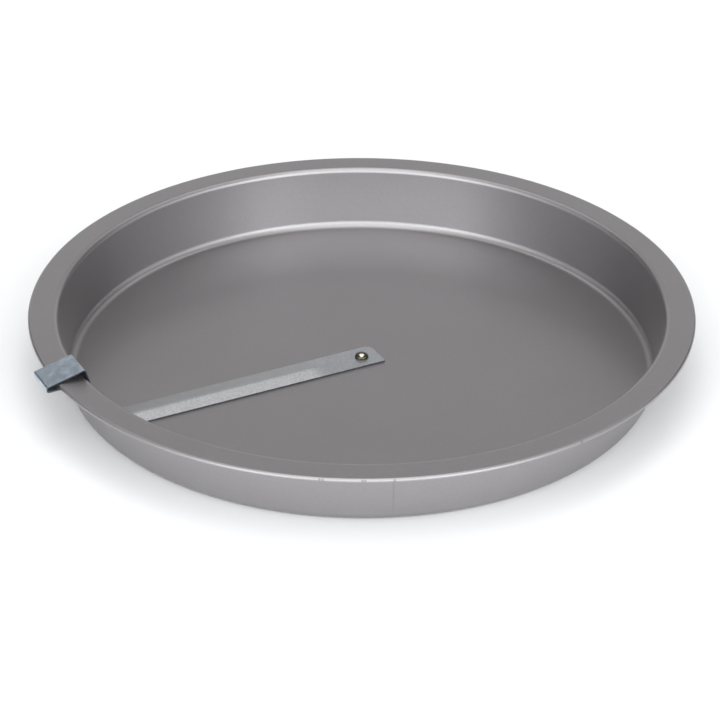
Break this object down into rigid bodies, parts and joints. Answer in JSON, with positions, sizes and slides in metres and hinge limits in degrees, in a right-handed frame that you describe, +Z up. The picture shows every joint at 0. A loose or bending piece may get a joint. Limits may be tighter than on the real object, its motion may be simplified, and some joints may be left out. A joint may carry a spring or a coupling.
{
  "type": "flan tin with loosening arm",
  "caption": "Shallow round steel baking pan with a flat flange and a riveted flat arm that sweeps along the floor and wall and hooks over the rim to free the bake.",
  "frame": {"origin": "middle of the plane that the pan rests on, on the rivet's axis", "axes": "+Z up through the rivet; the arm is parked 27.4 degrees past -X, towards -Y"},
  "size_m": [0.2808, 0.2808, 0.0323],
  "materials": {
    "pan_coating": "satin silver-grey metallic coating",
    "arm_steel": "zinc-plated strip, satin, slightly blue",
    "rivet_steel": "polished"
  },
  "bodies": {
    "pan": {"pan_shell": "pan_coating", "pivot_rivet": "rivet_steel"},
    "arm": {"release_arm": "arm_steel"}
  },
  "joints": [
    {"name": "arm_sweep", "type": "hinge", "parent": "pan", "child": "arm", "pos_m": [0, 0, 0], "axis": [0, 0, 1], "continuous": true}
  ]
}
